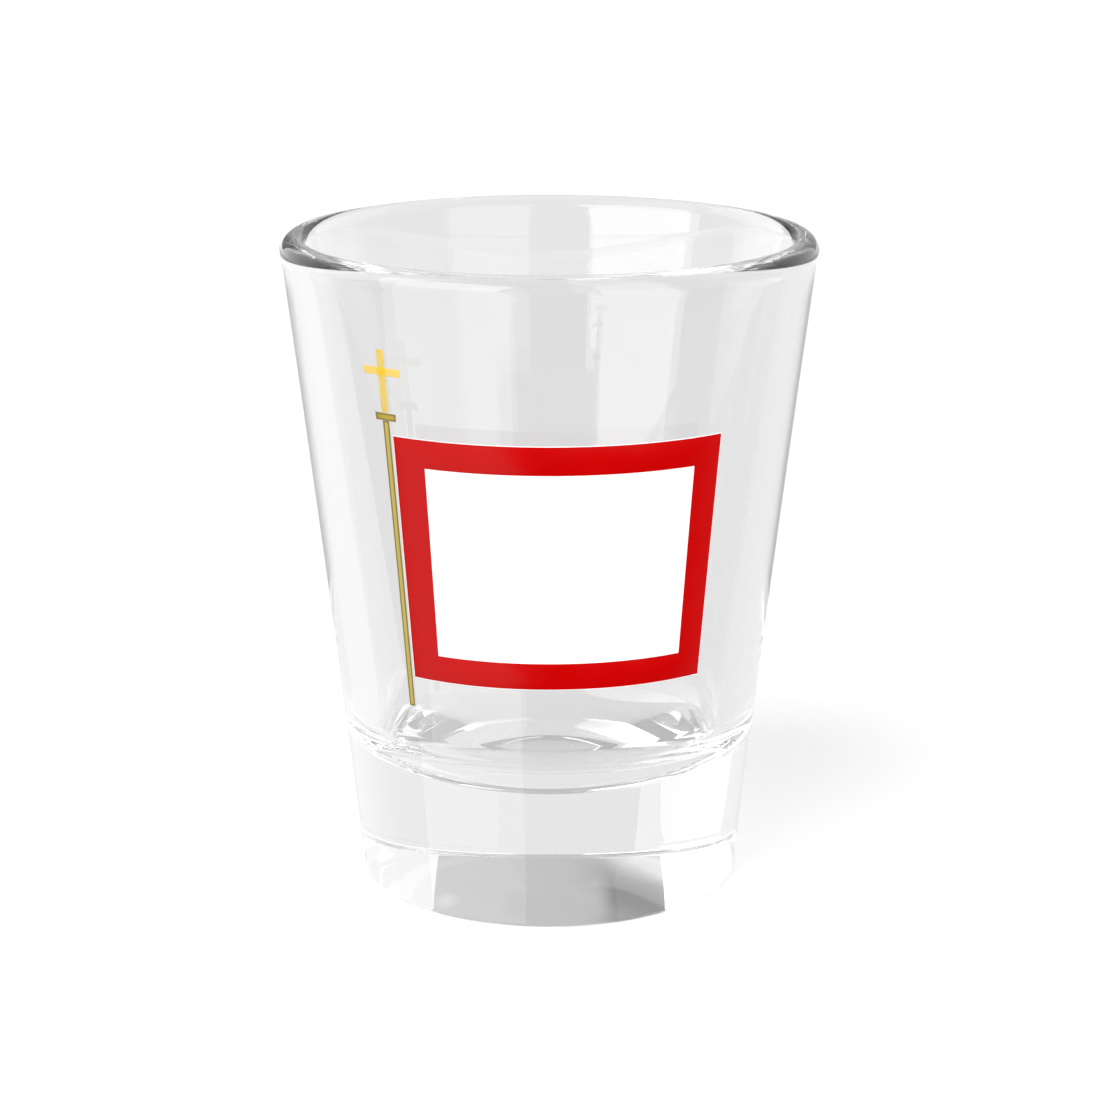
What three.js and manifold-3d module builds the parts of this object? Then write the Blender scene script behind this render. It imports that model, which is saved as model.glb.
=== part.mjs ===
// A pressed shot glass with a staff, a cross and a bordered flag printed on its front.
// Millimetres, +Z up, origin at the centre of the foot. The front of the glass, where the print is, faces -Y.
import * as THREE from "three";
import { mergeVertices } from "three/addons/utils/BufferGeometryUtils.js";
import Module from "manifold-3d";

const wasm = await Module();
wasm.setup();

// Glass: the outer wall runs from the foot to the mouth with a slight hollow curve.
const GLASS_HEIGHT = 60;
const MOUTH_RADIUS = 24.35;
const FOOT_RADIUS = 17.4;
const WALL_HOLLOW = 0.13; // how far the outer wall dips inside a straight line at mid height
const RIM_WALL = 2.5;
const RIM_BEAD = 0.12; // how far the fire-polished rim stands proud of the wall
const FLOOR_WALL = 3.4; // wall at the level of the cup's floor
const FLOOR_THICKNESS = 10.5; // of the solid base, at its thinnest
const BOWL_DEPTH = 6.5; // from the straight wall of the cup down to the middle of its floor
const BOWL_POWER = 2.4; // how square the bowl is: 2 is an ellipse
const HEEL_ROUND = 1.0;
const GLASS_SEGMENTS = 96;

// Print: each ink is a film of its own, laid on the glass or on the ink below it.
// It hangs from the mouth: the cross first, then the collar, and the staff with the flag beside it.
// Sizes across it are degrees round the glass, to the right of the front, and sizes up it are millimetres.
const INK_FILM = 0.08;
const INK_GAP = 0.03; // keeps each film clear of what it lies on
const INK_STEP = 2.5; // degrees
const INK_RISE_STEP = 5.5;

const PRINT_DROP = 7.09; // from the mouth down to the top of the cross
const CROSS_HEIGHT = 5.6;
const CROSS_WIDTH = 2.0;
const ARM_SPAN = 9.9;
const ARM_BAND = 0.7;
const ARM_DROP = 1.6; // from the top of the cross down to its arm
const CROSS_GAP = 0.06; // between the foot of the cross and the collar
const COLLAR_HEIGHT = 0.65;
const COLLAR_WIDTH = 5.6;
const STAFF_CENTRE = -37.9;
const STAFF_WIDTH = 1.7;
const STAFF_TAIL = 2.85; // how far the staff runs on below the flag
const OUTLINE_WIDTH = 0.14; // millimetres, on the staff and the collar

const FLAG_DROP = 1.3; // from the collar down to the top of the flag
const HOIST_GAP = 0.85; // between the staff and the flag
const FLAG_HEIGHT = 22.15;
const FLAG_SWEEP = 77.0;
const HOIST_BORDER = 7.7;
const FLY_BORDER = 6.9;
const TOP_BORDER = 2.55;
const FOOT_BORDER = 2.4;
const BASE_SPREAD = 0.12; // how far the white base shows past the red, in millimetres

const radians = THREE.MathUtils.degToRad;
const lerp = THREE.MathUtils.lerp;

function outerRadius(z) {
  const t = z / GLASS_HEIGHT;
  return lerp(FOOT_RADIUS, MOUTH_RADIUS, t) - 4 * WALL_HOLLOW * t * (1 - t);
}

function innerRadius(z) {
  const depth = (GLASS_HEIGHT - z) / (GLASS_HEIGHT - FLOOR_THICKNESS);
  return outerRadius(z) - lerp(RIM_WALL, FLOOR_WALL, depth);
}

// Points on an arc in the profile plane, from one angle to another in degrees.
function arc(centreR, centreZ, radius, from, to, steps) {
  return Array.from({ length: steps + 1 }, (_, i) => {
    const angle = radians(lerp(from, to, i / steps));
    return new THREE.Vector2(centreR + radius * Math.cos(angle), centreZ + radius * Math.sin(angle));
  });
}

// Points on a wall whose radius is a function of height, both ends left out.
function wallPoints(radiusAt, from, to, steps) {
  return Array.from({ length: steps - 1 }, (_, i) => {
    const z = lerp(from, to, (i + 1) / steps);
    return new THREE.Vector2(radiusAt(z), z);
  });
}

// Points round the bowl at the bottom of the cup, from the straight wall to the axis.
function bowl(steps) {
  const brim = FLOOR_THICKNESS + BOWL_DEPTH;
  const sharpness = 2 / BOWL_POWER;
  return Array.from({ length: steps + 1 }, (_, i) => {
    const angle = radians(lerp(0, 90, i / steps));
    const radius = i < steps ? innerRadius(brim) * Math.cos(angle) ** sharpness : 0;
    return new THREE.Vector2(radius, brim - BOWL_DEPTH * Math.sin(angle) ** sharpness);
  });
}

function glassBody() {
  const taper = THREE.MathUtils.radToDeg(Math.atan2(MOUTH_RADIUS - FOOT_RADIUS, GLASS_HEIGHT));
  const heelR = outerRadius(HEEL_ROUND) - HEEL_ROUND;
  const rimRound = (RIM_WALL + RIM_BEAD) / 2;
  const rimZ = GLASS_HEIGHT - rimRound;
  const rimR = innerRadius(rimZ) + rimRound;
  const beadStart = -35; // where the bead leaves the wall, in degrees on the rim's round
  const beadZ = rimZ + rimRound * Math.sin(radians(beadStart));
  const profile = [
    new THREE.Vector2(0, 0),
    ...arc(heelR, HEEL_ROUND, HEEL_ROUND, -90, 0, 3),
    ...wallPoints(outerRadius, HEEL_ROUND, beadZ, 6),
    ...arc(rimR, rimZ, rimRound, beadStart, 180 - taper, 8),
    ...wallPoints(innerRadius, rimZ, FLOOR_THICKNESS + BOWL_DEPTH, 5),
    ...bowl(9),
  ];
  return new THREE.LatheGeometry(profile, GLASS_SEGMENTS).rotateX(Math.PI / 2);
}

// The height of an ink's underside above the glass: level 0 lies on the glass, and level 1 on another ink.
function inkLift(level) {
  return INK_GAP + level * (INK_FILM + INK_GAP);
}

// A patch of film bent to the outer wall. left and right are degrees, foot and top are millimetres.
function patch({ left, right, foot, top }, lift, thickness) {
  const across = Math.max(1, Math.ceil((right - left) / INK_STEP));
  const up = Math.max(1, Math.ceil((top - foot) / INK_RISE_STEP));
  const geometry = new THREE.BoxGeometry(1, 1, 1, across, up, 1);
  const position = geometry.getAttribute("position");
  for (let i = 0; i < position.count; i++) {
    const angle = radians(lerp(left, right, position.getX(i) + 0.5));
    const z = lerp(foot, top, position.getY(i) + 0.5);
    const radius = outerRadius(z) + lift + thickness * (position.getZ(i) + 0.5);
    position.setXYZ(i, radius * Math.sin(angle), -radius * Math.cos(angle), z);
  }
  return geometry;
}

function film(area, level) {
  return patch(area, inkLift(level), INK_FILM);
}

function toSolid(geometry) {
  const bare = geometry.clone().deleteAttribute("normal").deleteAttribute("uv");
  const merged = mergeVertices(bare);
  return new wasm.Manifold(
    new wasm.Mesh({
      numProp: 3,
      vertProperties: merged.getAttribute("position").array,
      triVerts: new Uint32Array(merged.index.array),
    }),
  );
}

function toGeometry(solid) {
  const { vertProperties, triVerts } = solid.getMesh();
  return new THREE.BufferGeometry()
    .setAttribute("position", new THREE.BufferAttribute(vertProperties, 3))
    .setIndex(new THREE.BufferAttribute(triVerts, 1));
}

// A film with a window cut through it.
function frame(area, window, level) {
  const cutter = patch(window, inkLift(level) - INK_FILM, 3 * INK_FILM);
  return toGeometry(toSolid(film(area, level)).subtract(toSolid(cutter)));
}

// An area grown by a distance in millimetres on every side, or shrunk by a negative one.
function grown({ left, right, foot, top }, distance) {
  const turn = THREE.MathUtils.radToDeg(distance / outerRadius((foot + top) / 2));
  return { left: left - turn, right: right + turn, foot: foot - distance, top: top + distance };
}

// An area about the staff's centre line.
function aboutStaff(width, foot, top) {
  return { left: STAFF_CENTRE - width / 2, right: STAFF_CENTRE + width / 2, foot, top };
}

const crossTop = GLASS_HEIGHT - PRINT_DROP;
const crossFoot = crossTop - CROSS_HEIGHT;
const armTop = crossTop - ARM_DROP;
const collarTop = crossFoot - CROSS_GAP;
const collarFoot = collarTop - COLLAR_HEIGHT;
const flagTop = collarFoot - FLAG_DROP;
const flagFoot = flagTop - FLAG_HEIGHT;

const upright = aboutStaff(CROSS_WIDTH, crossFoot, crossTop);
const arm = aboutStaff(ARM_SPAN, armTop - ARM_BAND, armTop);
const collar = aboutStaff(COLLAR_WIDTH, collarFoot, collarTop);
const staff = aboutStaff(STAFF_WIDTH, flagFoot - STAFF_TAIL, collarFoot - INK_GAP);

const flag = {
  left: staff.right + HOIST_GAP,
  right: staff.right + HOIST_GAP + FLAG_SWEEP,
  foot: flagFoot,
  top: flagTop,
};
const field = {
  left: flag.left + HOIST_BORDER,
  right: flag.right - FLY_BORDER,
  foot: flag.foot + FOOT_BORDER,
  top: flag.top - TOP_BORDER,
};

const shotGlass = new THREE.Group();

function add(name, geometry, color, roughness, extra = {}) {
  const material = new THREE.MeshStandardMaterial({ color, roughness, metalness: 0, ...extra });
  const mesh = new THREE.Mesh(geometry, material);
  mesh.name = name;
  shotGlass.add(mesh);
}

add("glass_body", glassBody(), 0xf2f5f4, 0.02, { transparent: true, opacity: 0.35 });
add("flag_white_base_ink", film(grown(flag, BASE_SPREAD), 0), 0xffffff, 0.3);
add("flag_red_border_ink", frame(flag, field, 1), 0xd30000, 0.3);
add("staff_gold_ink", film(staff, 0), 0xd5c16c, 0.35);
add("staff_outline_ink", frame(staff, grown(staff, -OUTLINE_WIDTH), 1), 0x8f8145, 0.35);
add("collar_gold_ink", film(collar, 0), 0xa98f3a, 0.35);
add("collar_outline_ink", frame(collar, grown(collar, -OUTLINE_WIDTH), 1), 0x7d6c2c, 0.35);
add("cross_upright_ink", film(upright, 0), 0xffca1a, 0.3, { transparent: true, opacity: 0.6 });
add("cross_arm_ink", film(arm, 1), 0xffca1a, 0.3, { transparent: true, opacity: 0.6 });

export default shotGlass;
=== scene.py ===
import math

import bmesh
import bpy
from mathutils import Matrix, Vector


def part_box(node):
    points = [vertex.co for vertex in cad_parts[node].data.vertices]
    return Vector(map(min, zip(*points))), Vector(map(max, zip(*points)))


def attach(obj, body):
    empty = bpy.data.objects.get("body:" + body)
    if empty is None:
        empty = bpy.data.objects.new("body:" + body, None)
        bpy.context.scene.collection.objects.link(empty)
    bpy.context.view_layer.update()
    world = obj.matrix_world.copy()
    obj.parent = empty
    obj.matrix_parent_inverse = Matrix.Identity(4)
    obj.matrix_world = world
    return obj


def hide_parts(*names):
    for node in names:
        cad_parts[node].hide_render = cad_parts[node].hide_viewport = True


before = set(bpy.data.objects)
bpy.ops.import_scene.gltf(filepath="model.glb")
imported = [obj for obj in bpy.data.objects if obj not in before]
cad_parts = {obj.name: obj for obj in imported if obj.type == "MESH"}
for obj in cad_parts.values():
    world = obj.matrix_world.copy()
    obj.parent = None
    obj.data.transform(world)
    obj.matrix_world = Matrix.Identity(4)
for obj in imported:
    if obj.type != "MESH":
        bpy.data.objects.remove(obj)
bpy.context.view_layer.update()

# The glass: one gob of clear soda-lime glass, pressed between a tapered mould and a plunger that
# leaves the cup with its rounded bottom. A ring of flames then melts the rim round, which leaves
# it a little proud of the wall. The foot is flat as it left the mould, and its heel is rounded.
mm = 0.001
foot_corner, brim_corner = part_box("glass_body")
glass_height = brim_corner.z - foot_corner.z
mouth_radius = 24.35 * mm
foot_radius = 17.4 * mm
wall_hollow = 0.13 * mm
rim_wall = 2.5 * mm
rim_bead = 0.08 * mm
bead_blend = 0.8 * mm
floor_wall = 3.4 * mm
floor_thickness = 10.5 * mm
bowl_depth = 6.5 * mm
bowl_power = 2.4
heel_round = 0.45 * mm
glass_turns = 240
ripples_per_metre = 110
foot_ripple, wall_ripple = 0.006 * mm, 0.002 * mm
ripple_low, ripple_high = 5 * mm, 22 * mm
weld = 0.001 * mm


def mix(a, b, t):
    return a + (b - a) * t


def outer_radius(z):
    t = z / glass_height
    return mix(foot_radius, mouth_radius, t) - 4 * wall_hollow * t * (1 - t)


def inner_radius(z):
    depth = (glass_height - z) / (glass_height - floor_thickness)
    return outer_radius(z) - mix(rim_wall, floor_wall, depth)


def arc(centre_r, centre_z, radius, start, end, steps):
    angles = [math.radians(mix(start, end, i / steps)) for i in range(steps + 1)]
    return [(centre_r + radius * math.cos(a), centre_z + radius * math.sin(a)) for a in angles]


def wall(radius_at, start, end, steps):
    heights = [mix(start, end, i / steps) for i in range(1, steps)]
    return [(radius_at(z), z) for z in heights]


taper = math.degrees(math.atan2(mouth_radius - foot_radius, glass_height))
heel = arc(outer_radius(heel_round) - heel_round, heel_round, heel_round, -90, 0, 12)
rim_round = (rim_wall + rim_bead) / 2
rim_z = glass_height - rim_round
rim = arc(inner_radius(rim_z) + rim_round, rim_z, rim_round, -taper, 180 - taper, 32)
bead_r, bead_z = rim[0]
bead_swell = bead_r - outer_radius(bead_z)
blend_z = bead_z - bead_blend


def bead_radius(z):
    t = (z - blend_z) / bead_blend
    return outer_radius(z) + bead_swell * t * t * (3 - 2 * t)


def bowl_point(angle):
    across = math.cos(angle) ** (2 / bowl_power)
    down = math.sin(angle) ** (2 / bowl_power)
    return inner_radius(brim_z) * across, brim_z - bowl_depth * down


brim_z = floor_thickness + bowl_depth
outline = [
    (0, 0),
    *heel,
    *wall(outer_radius, heel_round, blend_z, 24),
    *wall(bead_radius, blend_z, bead_z, 12),
    *rim,
    *wall(inner_radius, rim_z, brim_z, 20),
    *[bowl_point(math.pi / 2 * i / 60) for i in range(60)],
    (0, floor_thickness),
]

bm = bmesh.new()
points = [bm.verts.new((r, 0, z)) for r, z in outline]
edges = [bm.edges.new(pair) for pair in zip(points, points[1:])]
bmesh.ops.spin(bm, geom=points + edges, cent=(0, 0, 0), axis=(0, 0, 1), angle=math.tau,
               steps=glass_turns, use_merge=True)
bmesh.ops.remove_doubles(bm, verts=bm.verts, dist=weld)
bmesh.ops.recalc_face_normals(bm, faces=bm.faces)


def finish_mesh(bm, name, material):
    mesh = bpy.data.meshes.new(name)
    bm.to_mesh(mesh)
    bm.free()
    mesh.materials.append(material)
    mesh.shade_smooth()
    piece = bpy.data.objects.new(name, mesh)
    bpy.context.scene.collection.objects.link(piece)
    return piece


def new_material(name):
    """A material, its node tree and its shader."""
    material = bpy.data.materials.new(name)
    material.use_nodes = True
    tree = material.node_tree
    return material, tree, tree.nodes["Principled BSDF"]


def coordinates(tree, kind="Object"):
    """Where a point is, by default on its own object."""
    return tree.nodes.new("ShaderNodeTexCoord").outputs[kind]


def axes(tree, place):
    """The X, Y and Z of a place."""
    node = tree.nodes.new("ShaderNodeSeparateXYZ")
    tree.links.new(place, node.inputs["Vector"])
    return node.outputs


def noise(tree, place, per_metre, detail):
    node = tree.nodes.new("ShaderNodeTexNoise")
    node.inputs["Scale"].default_value = per_metre
    node.inputs["Detail"].default_value = detail
    tree.links.new(place, node.inputs["Vector"])
    return node.outputs["Fac"]


def ramp(tree, socket, start, end, low=0.0, high=1.0, smooth=False):
    """A level that runs from low to high as the socket goes from start to end."""
    node = tree.nodes.new("ShaderNodeMapRange")
    if smooth:
        node.interpolation_type = "SMOOTHSTEP"
    for name, value in (("From Min", start), ("From Max", end), ("To Min", low), ("To Max", high)):
        node.inputs[name].default_value = value
    tree.links.new(socket, node.inputs["Value"])
    return node.outputs["Result"]


clear_glass, glass_tree, glass_shader = new_material("clear_glass")
glass_shader.inputs["Base Color"].default_value = (0.93, 0.93, 0.93, 1)
glass_shader.inputs["Roughness"].default_value = 0.0
glass_shader.inputs["IOR"].default_value = 1.5
glass_shader.inputs["Transmission Weight"].default_value = 1.0

# The mould leaves a faint ripple. The flames smooth it, so the foot keeps the most.
glass_place = coordinates(glass_tree)
glass_bump = glass_tree.nodes.new("ShaderNodeBump")
glass_bump.inputs["Strength"].default_value = 1.0
glass_ripple = noise(glass_tree, glass_place, ripples_per_metre, 1)
glass_tree.links.new(glass_ripple, glass_bump.inputs["Height"])
ripple_depth = ramp(glass_tree, axes(glass_tree, glass_place)["Z"], ripple_low, ripple_high,
                    foot_ripple, wall_ripple, smooth=True)
glass_tree.links.new(ripple_depth, glass_bump.inputs["Distance"])
glass_tree.links.new(glass_bump.outputs["Normal"], glass_shader.inputs["Normal"])

glass = finish_mesh(bm, "glass", clear_glass)
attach(glass, "root")
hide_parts("glass_body")

# The ground coat of the flag: white glass enamel, screened on the wall in one pass and fired on,
# so that the colour over it doesn't show the drink. It spreads a hair past the colour.
# The films are bonded to the glass, so each starts a few microns inside what it lies on.
ink_film = 0.03 * mm
ink_bite = 0.006 * mm
ink_shoulder = 0.018 * mm
ink_step = 0.5
rise_step = 1.5 * mm
tolerance = 0.0001 * mm
corner_angle = 45
crease_angle = 50
enamel_gloss = 0.2
blotches_per_metre = 350
patchiness = 0.04
dimples_per_metre = 6000
dimple_depth = 0.002 * mm
dimple_strength = 0.15


def print_film(name, material, left, right, foot, top, layer=0, window=None):
    """A film of ink: a flat grid is thickened, rounded over at its edge and bent to the wall.

    left and right are degrees round the glass, to the right of the front.
    """
    bm = bmesh.new()
    columns = max(2, math.ceil((right - left) / ink_step))
    rows = max(2, math.ceil((top - foot) / rise_step))
    bmesh.ops.create_grid(bm, x_segments=columns, y_segments=rows, size=0.5)
    turn = outer_radius((foot + top) / 2) * math.radians(1)
    bmesh.ops.scale(bm, vec=((right - left) * turn, top - foot, 1), verts=bm.verts)
    bmesh.ops.translate(bm, vec=((left + right) / 2 * turn, (foot + top) / 2, 0), verts=bm.verts)
    if window:
        w_left, w_right, w_foot, w_top = window[0] * turn, window[1] * turn, window[2], window[3]
        for at, normal in (((w_left, 0, 0), (1, 0, 0)), ((w_right, 0, 0), (1, 0, 0)),
                           ((0, w_foot, 0), (0, 1, 0)), ((0, w_top, 0), (0, 1, 0))):
            bmesh.ops.bisect_plane(bm, geom=bm.verts[:] + bm.edges[:] + bm.faces[:],
                                   dist=tolerance, plane_co=at, plane_no=normal)
        opening = [face for face in bm.faces
                   if w_left < face.calc_center_median().x < w_right
                   and w_foot < face.calc_center_median().y < w_top]
        bmesh.ops.delete(bm, geom=opening, context="FACES")
    bmesh.ops.solidify(bm, geom=bm.faces[:], thickness=ink_film)
    bmesh.ops.recalc_face_normals(bm, faces=bm.faces)
    face_z = max(vert.co.z for vert in bm.verts)
    back_z = min(vert.co.z for vert in bm.verts)
    shoulder = [edge for edge in bm.edges if edge.calc_face_angle(0) > math.radians(corner_angle)
                and min(vert.co.z for vert in edge.verts) > face_z - tolerance]
    bmesh.ops.bevel(bm, geom=shoulder, affect="EDGES", offset=ink_shoulder, segments=3, profile=0.5,
                    material=-1, offset_type="OFFSET", clamp_overlap=True)
    lift = layer * (ink_film - ink_bite) - ink_bite
    for vert in bm.verts:
        angle = math.radians(vert.co.x / turn)
        radius = outer_radius(vert.co.y) + lift + vert.co.z - back_z
        vert.co = (radius * math.sin(angle), -radius * math.cos(angle), vert.co.y)
    piece = finish_mesh(bm, name, material)
    piece.data.set_sharp_from_angle(angle=math.radians(crease_angle))
    piece.visible_glossy = False  # or a faint second print shows in the inner wall of the glass
    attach(piece, "root")
    return piece


def enamel(name, colour, other, roughness):
    """Fired enamel: a slightly uneven laydown, the screen's dimples and a soft gloss."""
    material, tree, shader = new_material(name)
    shader.inputs["Specular IOR Level"].default_value = enamel_gloss
    place = coordinates(tree)
    laydown = noise(tree, place, blotches_per_metre, 4)
    tone = tree.nodes.new("ShaderNodeMix")
    tone.data_type = "RGBA"
    tone.inputs["A"].default_value = (*colour, 1)
    tone.inputs["B"].default_value = (*other, 1)
    tree.links.new(laydown, tone.inputs["Factor"])
    tree.links.new(tone.outputs["Result"], shader.inputs["Base Color"])
    rough = ramp(tree, laydown, 0.3, 0.7, roughness - patchiness, roughness + patchiness)
    tree.links.new(rough, shader.inputs["Roughness"])
    dimples = tree.nodes.new("ShaderNodeTexVoronoi")
    dimples.inputs["Scale"].default_value = dimples_per_metre
    bump = tree.nodes.new("ShaderNodeBump")
    bump.inputs["Strength"].default_value = dimple_strength
    bump.inputs["Distance"].default_value = dimple_depth
    tree.links.new(place, dimples.inputs["Vector"])
    tree.links.new(dimples.outputs["Distance"], bump.inputs["Height"])
    tree.links.new(bump.outputs["Normal"], shader.inputs["Normal"])
    return material


def foot_and_top(name):
    """The heights of a printed node's foot and top."""
    low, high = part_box(name)
    return low.z, high.z


base_spread = 0.07 * mm
staff_centre = -37.9
staff_width = 1.7
hoist_gap = 0.85
flag_sweep = 77.0
flag_left = staff_centre + staff_width / 2 + hoist_gap
flag_right = flag_left + flag_sweep
red_foot, red_top = foot_and_top("flag_red_border_ink")
spread_turn = math.degrees(base_spread / outer_radius((red_foot + red_top) / 2))

white_ink = enamel("white_enamel", (0.96, 0.96, 0.96), (0.975, 0.975, 0.975), 0.22)
white_base = print_film("flag_white_base", white_ink, flag_left - spread_turn,
                        flag_right + spread_turn, red_foot - base_spread, red_top + base_spread)
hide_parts("flag_white_base_ink")

# The flag's border: red enamel, a second screen laid on the white when that is dry. Its window
# leaves the white field showing.
hoist_border = 7.7
fly_border = 6.9
top_border = 2.55 * mm
foot_border = 2.4 * mm

red_ink = enamel("red_enamel", (0.49, 0.0, 0.0), (0.51, 0.0, 0.0), 0.22)
red_window = (flag_left + hoist_border, flag_right - fly_border,
              red_foot + foot_border, red_top - top_border)
red_border = print_film("flag_red_border", red_ink, flag_left, flag_right, red_foot, red_top,
                        layer=1, window=red_window)
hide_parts("flag_red_border_ink")

# The staff: a long strip of old-gold enamel beside the flag, with a fine darker line screened
# round its edge so that it reads as a round pole.
staff_foot, staff_top = foot_and_top("staff_gold_ink")
outline_width = 0.14 * mm
staff_left, staff_right = staff_centre - staff_width / 2, staff_centre + staff_width / 2


def print_outline(name, left, right, foot, top):
    """A line round the edge of an area, screened over it."""
    inset = math.degrees(outline_width / outer_radius((foot + top) / 2))
    window = (left + inset, right - inset, foot + outline_width, top - outline_width)
    return print_film(name, line_ink, left, right, foot, top, layer=1, window=window)


gold_ink = enamel("staff_gold_enamel", (0.49, 0.39, 0.1), (0.51, 0.41, 0.11), 0.35)
staff = print_film("staff_gold", gold_ink, staff_left, staff_right, staff_foot, staff_top)
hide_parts("staff_gold_ink")

line_ink = enamel("outline_enamel", (0.22, 0.175, 0.045), (0.24, 0.19, 0.05), 0.35)
staff_line = print_outline("staff_outline", staff_left, staff_right, staff_foot, staff_top)
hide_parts("staff_outline_ink")

# The collar: a short bar of darker gold enamel across the head of the staff, with its own fine
# outline. The gold is lighter toward the right.
collar_foot, collar_top = foot_and_top("collar_gold_ink")
collar_width = 5.6
lighter_from, lighter_to = -14.9 * mm, -14.2 * mm
collar_left, collar_right = staff_centre - collar_width / 2, staff_centre + collar_width / 2

collar_ink = enamel("collar_gold_enamel", (0.31, 0.21, 0.022), (0.34, 0.23, 0.025), 0.35)
collar_tree = collar_ink.node_tree
collar_colour = collar_tree.nodes["Principled BSDF"].inputs["Base Color"]
collar_axes = axes(collar_tree, coordinates(collar_tree))
# The gold turns lighter toward the right.
collar_lighter = ramp(collar_tree, collar_axes["X"], lighter_from, lighter_to)
collar_tone = collar_tree.nodes.new("ShaderNodeMixRGB")
collar_tone.inputs["Color2"].default_value = (0.46, 0.335, 0.055, 1)
collar_tree.links.new(collar_colour.links[0].from_socket, collar_tone.inputs["Color1"])
collar_tree.links.new(collar_lighter, collar_tone.inputs["Fac"])
collar_tree.links.new(collar_tone.outputs["Color"], collar_colour)
collar = print_film("collar_gold", collar_ink, collar_left, collar_right, collar_foot, collar_top)
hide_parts("collar_gold_ink")

collar_line = print_outline("collar_outline", collar_left, collar_right, collar_foot, collar_top)
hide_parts("collar_outline_ink")

# The cross: two bars of a thin amber enamel that lets the glass show through. They are screened
# one over the other, so the crossing is twice as deep in colour.
cross_foot, cross_top = foot_and_top("cross_upright_ink")
arm_foot, arm_top = foot_and_top("cross_arm_ink")
cross_width = 2.0
arm_span = 9.9

amber_ink = enamel("cross_amber_enamel", (0.98, 0.67, 0.0), (1.0, 0.69, 0.0), 0.3)
amber_ink.node_tree.nodes["Principled BSDF"].inputs["Alpha"].default_value = 0.52
upright = print_film("cross_upright", amber_ink, staff_centre - cross_width / 2,
                     staff_centre + cross_width / 2, cross_foot, cross_top)
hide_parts("cross_upright_ink")

arm = print_film("cross_arm", amber_ink, staff_centre - arm_span / 2,
                 staff_centre + arm_span / 2, arm_foot, arm_top, layer=1)
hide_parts("cross_arm_ink")

# The floor: a white sheet that lamps of its own bring up to white, with one soft shadow behind and
# to the right of the glass. It isn't seen in the glass, which has the surround and softboxes.
floor_reach = 6
floor_drop = 0.02 * mm

bm = bmesh.new()
bmesh.ops.create_grid(bm, x_segments=1, y_segments=1, size=floor_reach)
bmesh.ops.translate(bm, verts=bm.verts, vec=(0, 0, -floor_drop))
floor_paint, _, floor_shader = new_material("floor_paint")
floor_shader.inputs["Base Color"].default_value = (0.9, 0.9, 0.9, 1)
floor_shader.inputs["Roughness"].default_value = 1.0
floor_shader.inputs["Specular IOR Level"].default_value = 0.0
floor = finish_mesh(bm, "floor", floor_paint)
floor.visible_glossy = False
floor.visible_transmission = False
floor.visible_diffuse = False

only_floor = bpy.data.collections.new("lamps_on_the_floor")
only_floor.objects.link(floor)
not_floor = bpy.data.collections.new("lamps_off_the_floor")
not_floor.objects.link(floor)
not_floor.collection_objects[0].light_linking.link_state = "EXCLUDE"
no_shadow = bpy.data.collections.new("casts_no_shadow")
no_shadow.objects.link(floor)

# The softboxes: cloth-fronted lamps round the glass, out of view. They make the pale and dark
# stripes in its wall and base. Their light goes to and fro in the glass, which takes many bounces.
# print_fill lights only the inks.
light_distance = 1.5
light_centre = Vector((0, 0, 30 * mm))

scene = bpy.context.scene
scene.view_settings.view_transform = "Standard"
scene.cycles.max_bounces = 64
scene.cycles.transmission_bounces = 64
scene.cycles.glossy_bounces = 32
scene.cycles.transparent_max_bounces = 16


def softbox(name, left, right, low, high, radiance):
    """A soft light that faces the glass. Its sides are degrees to the right of the front and up."""
    turn, rise = math.radians((left + right) / 2), math.radians((low + high) / 2)
    away = Vector((math.sin(turn) * math.cos(rise), -math.cos(turn) * math.cos(rise), math.sin(rise)))
    light = bpy.data.lights.new(name, "AREA")
    light.shape = "RECTANGLE"
    light.size = 2 * light_distance * math.tan(math.radians((right - left) / 2))
    light.size_y = 2 * light_distance * math.tan(math.radians((high - low) / 2))
    light.energy = radiance * math.pi * light.size * light.size_y
    lamp = bpy.data.objects.new(name, light)
    lamp.location = away * light_distance + light_centre
    lamp.rotation_euler = away.to_track_quat("Z", "Y").to_euler()
    lamp.visible_camera = False
    lamp.light_linking.receiver_collection = not_floor
    scene.collection.objects.link(lamp)
    return lamp


softbox("key_softbox", -75, -20, -3, 45, 2.6)
softbox("key_low", -75, -20, -45, -3.5, 1.1)
softbox("left_back_softbox", -176, -106, -5, 50, 0.8)
softbox("left_back_low", -162, -112, -45, -5, 0.12)
softbox("right_back_softbox", 106, 176, -5, 50, 0.45)
softbox("front_right", 10, 51, -10, 40, 0.9)

print_fill = softbox("print_fill", 0, 90, -10, 50, 2.1)
print_fill.visible_glossy = False
print_fill.visible_transmission = False


def distant_lamp(name, turn, height, spread, strength, lights, shaded_by=None):
    """A far-off lamp for one collection. turn and height say where it stands, in degrees."""
    light = bpy.data.lights.new(name, "SUN")
    light.angle = math.radians(spread)
    light.energy = strength
    lamp = bpy.data.objects.new(name, light)
    lamp.rotation_euler = (math.radians(90 - height), 0, math.radians(turn))
    lamp.visible_camera = False
    lamp.visible_glossy = False
    lamp.visible_transmission = False
    lamp.light_linking.receiver_collection = lights
    lamp.light_linking.blocker_collection = shaded_by
    scene.collection.objects.link(lamp)


distant_lamp("floor_fill", 0, 90, 1, 2.15, only_floor, shaded_by=no_shadow)
distant_lamp("floor_key", -36, 50, 40, 1.4, only_floor)

# The backs of the inks have a lamp of their own behind the glass, which the glass doesn't shade.
only_inks = bpy.data.collections.new("lamps_on_the_inks")
for ink in (white_base, red_border, staff, staff_line, collar, collar_line, upright, arm):
    only_inks.objects.link(ink)
distant_lamp("ink_back", 180, 25, 60, 2.0, only_inks, shaded_by=no_shadow)
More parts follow.
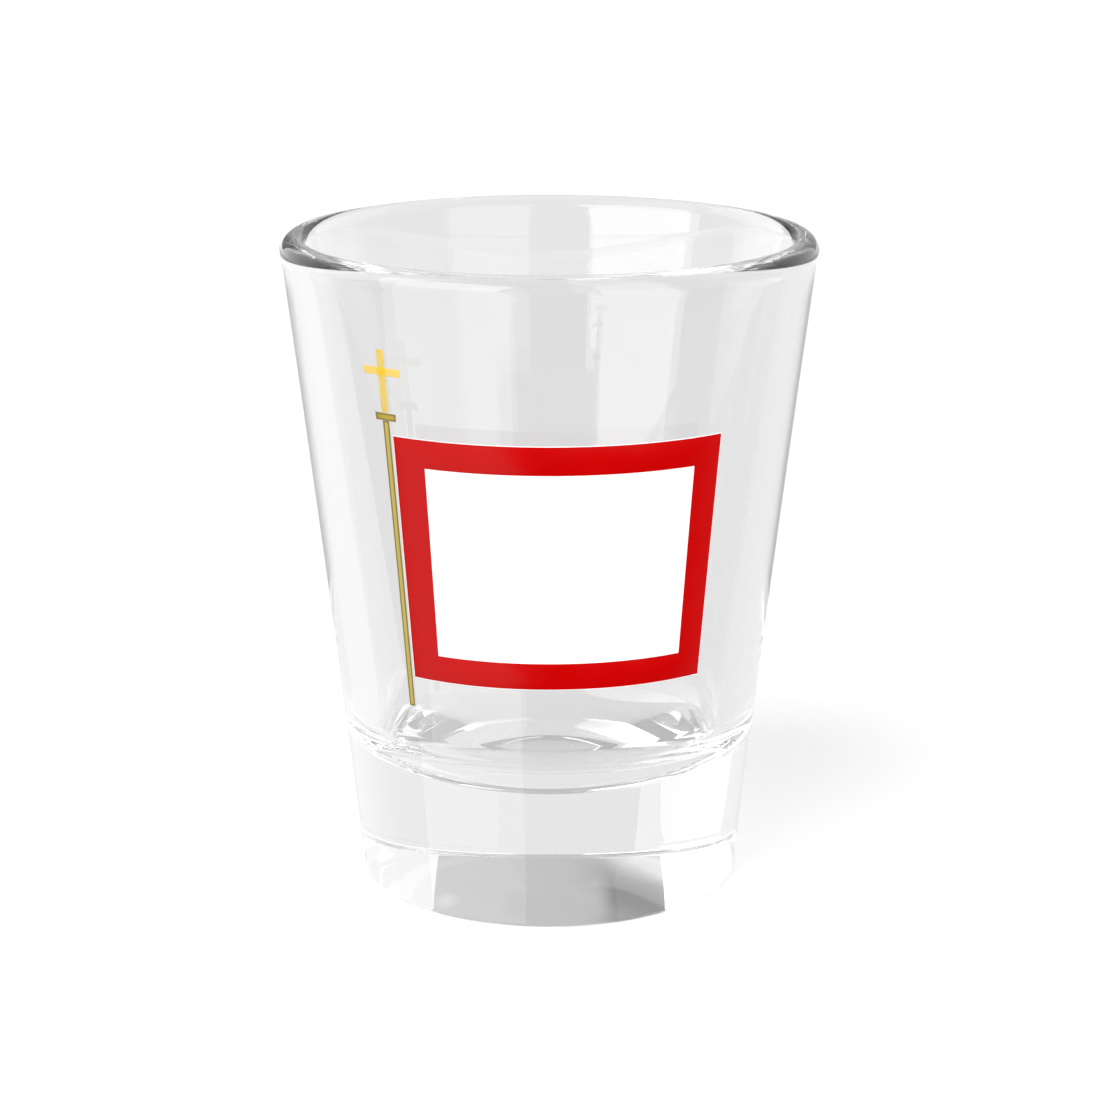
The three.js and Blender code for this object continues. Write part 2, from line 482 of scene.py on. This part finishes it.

# The grey card: a board that stands behind, dead centre, and glows though it is no lamp, so that it
# shows in the heel of the glass as a painted reflection; the camera doesn't see it. Its greys are
# painted light and shade across it in soft streaks. Toward one end a light streak lies above a dark
# one, and near the other end there is a small light spot, a painted highlight.
card_width, card_height = 0.92, 1.2
card_away, card_centre = 0.9, 0.66
streaks_per_metre = 2.2
streak_squash = (1, 1, 7)
across_from, across_to = -0.21, 0.71
across_shades = ((0.0, 0.38), (1.0, 0.64), (0.22, 0.46), (0.4, 0.57), (0.6, 0.6), (0.65, 0.63))
streak_sway = 0.5
end_shades = ((0.0, 0.33), (1.0, 0.85), (0.07, 0.3), (0.2, 0.245), (0.37, 0.23), (0.43, 0.33),
              (0.53, 0.365), (0.67, 0.42), (0.8, 0.56))
end_slope = -0.15
end_low, end_high = 0.3275, 0.4775
end_starts, end_full = -0.145, -0.235
# The light spot is a painted highlight on the glowing card.
spot_centre = (0.39, card_away, 0.332)
spot_shrink = (11, 0, 42)
spot_edge, spot_core = 1.0, 0.2
painted_highlight_grey = (0.75, 0.75, 0.75, 1)

bm = bmesh.new()
bmesh.ops.create_grid(bm, x_segments=1, y_segments=1, size=0.5)
bmesh.ops.scale(bm, vec=(card_width, card_height, 1), verts=bm.verts)
bmesh.ops.rotate(bm, verts=bm.verts, cent=(0, 0, 0), matrix=Matrix.Rotation(math.radians(90), 3, "X"))
bmesh.ops.translate(bm, verts=bm.verts, vec=(0, card_away, card_centre))
# The card's material glows with painted light and shade; it isn't lit paint.
card_glow, card_tree, card_shader = new_material("glowing_grey_card")
card_shader.inputs["Base Color"].default_value = (0, 0, 0, 1)
card_shader.inputs["Emission Strength"].default_value = 1.0
card_place = coordinates(card_tree)
card_axes = axes(card_tree, card_place)


def card_vector(operation, value, socket):
    """A step of vector arithmetic. value is its second term."""
    node = card_tree.nodes.new("ShaderNodeVectorMath")
    node.operation = operation
    node.inputs[1].default_value = value
    card_tree.links.new(socket, node.inputs[0])
    return node.outputs


def card_sum(socket, share, added):
    """socket times share, plus added."""
    node = card_tree.nodes.new("ShaderNodeMath")
    node.operation = "MULTIPLY_ADD"
    node.inputs[1].default_value = share
    card_tree.links.new(socket, node.inputs[0])
    card_tree.links.new(added, node.inputs[2])
    return node.outputs["Value"]


def card_shades(socket, stops):
    """Greys that follow the socket. The first two stops are its ends."""
    node = card_tree.nodes.new("ShaderNodeValToRGB")
    elements = node.color_ramp.elements
    for k, (at, grey) in enumerate(stops):
        stop = elements[k] if k < 2 else elements.new(at)
        stop.color = (grey, grey, grey, 1)
    card_tree.links.new(socket, node.inputs["Fac"])
    return node.outputs["Color"]


def card_join(factor, under, over):
    """under where factor is 0 and over where it is 1."""
    node = card_tree.nodes.new("ShaderNodeMixRGB")
    card_tree.links.new(factor, node.inputs["Fac"])
    card_tree.links.new(under, node.inputs["Color1"])
    if isinstance(over, tuple):
        node.inputs["Color2"].default_value = over
    else:
        card_tree.links.new(over, node.inputs["Color2"])
    return node.outputs["Color"]


card_stretch = card_tree.nodes.new("ShaderNodeMapping")
card_stretch.inputs["Scale"].default_value = streak_squash
card_tree.links.new(card_place, card_stretch.inputs["Vector"])
streaks = noise(card_tree, card_stretch.outputs["Vector"], streaks_per_metre, 3)
swayed = card_sum(streaks, streak_sway, card_axes["X"])
across = ramp(card_tree, swayed, across_from, across_to)
tilted = card_sum(card_axes["X"], end_slope, card_axes["Z"])
up_end = ramp(card_tree, tilted, end_low, end_high)
at_end = ramp(card_tree, card_axes["X"], end_starts, end_full, smooth=True)
from_spot = card_vector("SUBTRACT", spot_centre, card_place)["Vector"]
spot_shape = card_vector("MULTIPLY", spot_shrink, from_spot)["Vector"]
spot_reach = card_vector("LENGTH", (0, 0, 0), spot_shape)["Value"]
in_spot = ramp(card_tree, spot_reach, spot_edge, spot_core, smooth=True)

# The card's glow: painted light and shade in streaks, with the spot as a painted highlight.
painted_glow = card_join(at_end, card_shades(across, across_shades), card_shades(up_end, end_shades))
painted_glow = card_join(in_spot, painted_glow, painted_highlight_grey)
card_tree.links.new(painted_glow, card_shader.inputs["Emission Color"])
card = finish_mesh(bm, "glowing_grey_card", card_glow)
card.visible_camera = False
card.visible_diffuse = False
card.visible_shadow = False

# The surround: plain pale walls, darker above the horizon than below it. Mirrored rays see them go
# from dark in front to light behind, which keeps the sheen on the front of the glass low.
wall_low, wall_high = 0.9, 0.6
horizon_blur = 0.02
mirror_front, mirror_back = 0.02, 0.9
mirror_from, mirror_to = -0.3, 0.6
ink_surround = 0.25
open_white = 1.0

surround = bpy.data.worlds.new("studio")
surround.use_nodes = True
scene.world = surround
tree = surround.node_tree
background = tree.nodes["Background"]
ray = tree.nodes.new("ShaderNodeLightPath").outputs
direction = axes(tree, coordinates(tree, "Generated"))


def choose(factor, a, b):
    """a where factor is 0 and b where it is 1."""
    node = tree.nodes.new("ShaderNodeMix")
    tree.links.new(factor, node.inputs["Factor"])
    for name, value in (("A", a), ("B", b)):
        if isinstance(value, float):
            node.inputs[name].default_value = value
        else:
            tree.links.new(value, node.inputs[name])
    return node.outputs["Result"]


walls = ramp(tree, direction["Z"], -horizon_blur, horizon_blur, wall_low, wall_high)
mirrored = ramp(tree, direction["Y"], mirror_from, mirror_to, mirror_front, mirror_back)
level = choose(ray["Is Reflection Ray"], walls, mirrored)
level = choose(ray["Is Diffuse Ray"], level, ink_surround)
level = choose(ray["Is Camera Ray"], level, open_white)
tree.links.new(level, background.inputs["Color"])
background.inputs["Strength"].default_value = 1.0

# The camera: a long lens that stands in front of the glass and higher than its rim, and looks
# down at it.
focal_length = 100.7
camera_side, camera_away, camera_height = 0.06 * mm, 274.8 * mm, 103.5 * mm
look_down = math.radians(14.9)

lens = bpy.data.cameras.new("camera")
lens.sensor_width = 36
lens.lens = focal_length
lens.clip_start = 0.01
lens.clip_end = 30
camera = bpy.data.objects.new("camera", lens)
camera.location = (camera_side, -camera_away, camera_height)
camera.rotation_euler = (math.pi / 2 - look_down, 0, 0)
scene.collection.objects.link(camera)
scene.camera = camera
